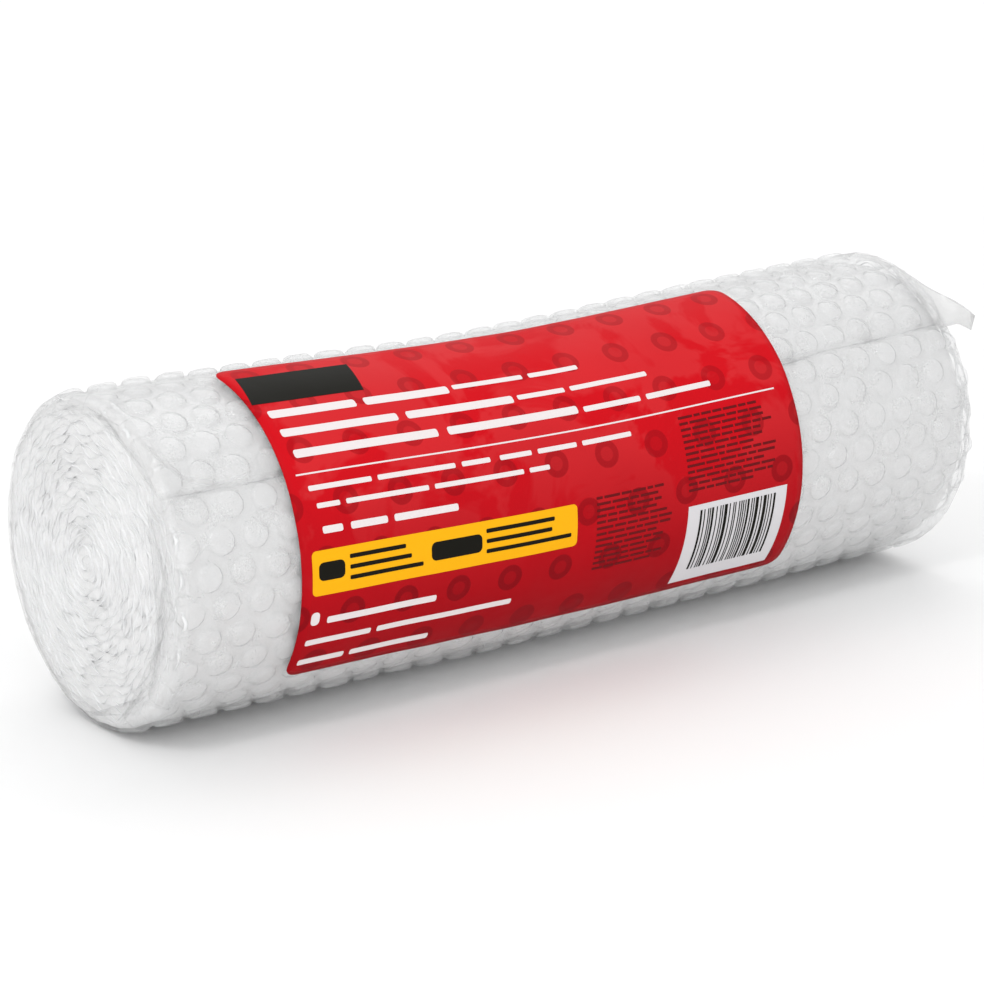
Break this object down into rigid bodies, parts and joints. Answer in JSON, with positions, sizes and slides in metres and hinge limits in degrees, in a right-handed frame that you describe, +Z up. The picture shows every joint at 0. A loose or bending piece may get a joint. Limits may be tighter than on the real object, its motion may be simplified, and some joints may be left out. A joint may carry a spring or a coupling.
{
  "type": "bubble wrap roll",
  "caption": "Roll of small-bubble cushioning wrap lying on its side, wound without a core and closed by a wide printed label.",
  "frame": {"origin": "middle of the small flat that the soft roll rests on, on a flattened bubble at mid length", "axes": "+X along the roll to the end with the loose film corner, +Z up, and the label faces -Y"},
  "size_m": [0.3157, 0.1007, 0.101],
  "materials": {
    "film": "glossy translucent film, white where many layers lie on each other",
    "label": "glossy printed label, red with fields of other colours"
  },
  "bodies": {
    "root": {"bubble_wrap": "film", "label": "label"}
  },
  "joints": []
}
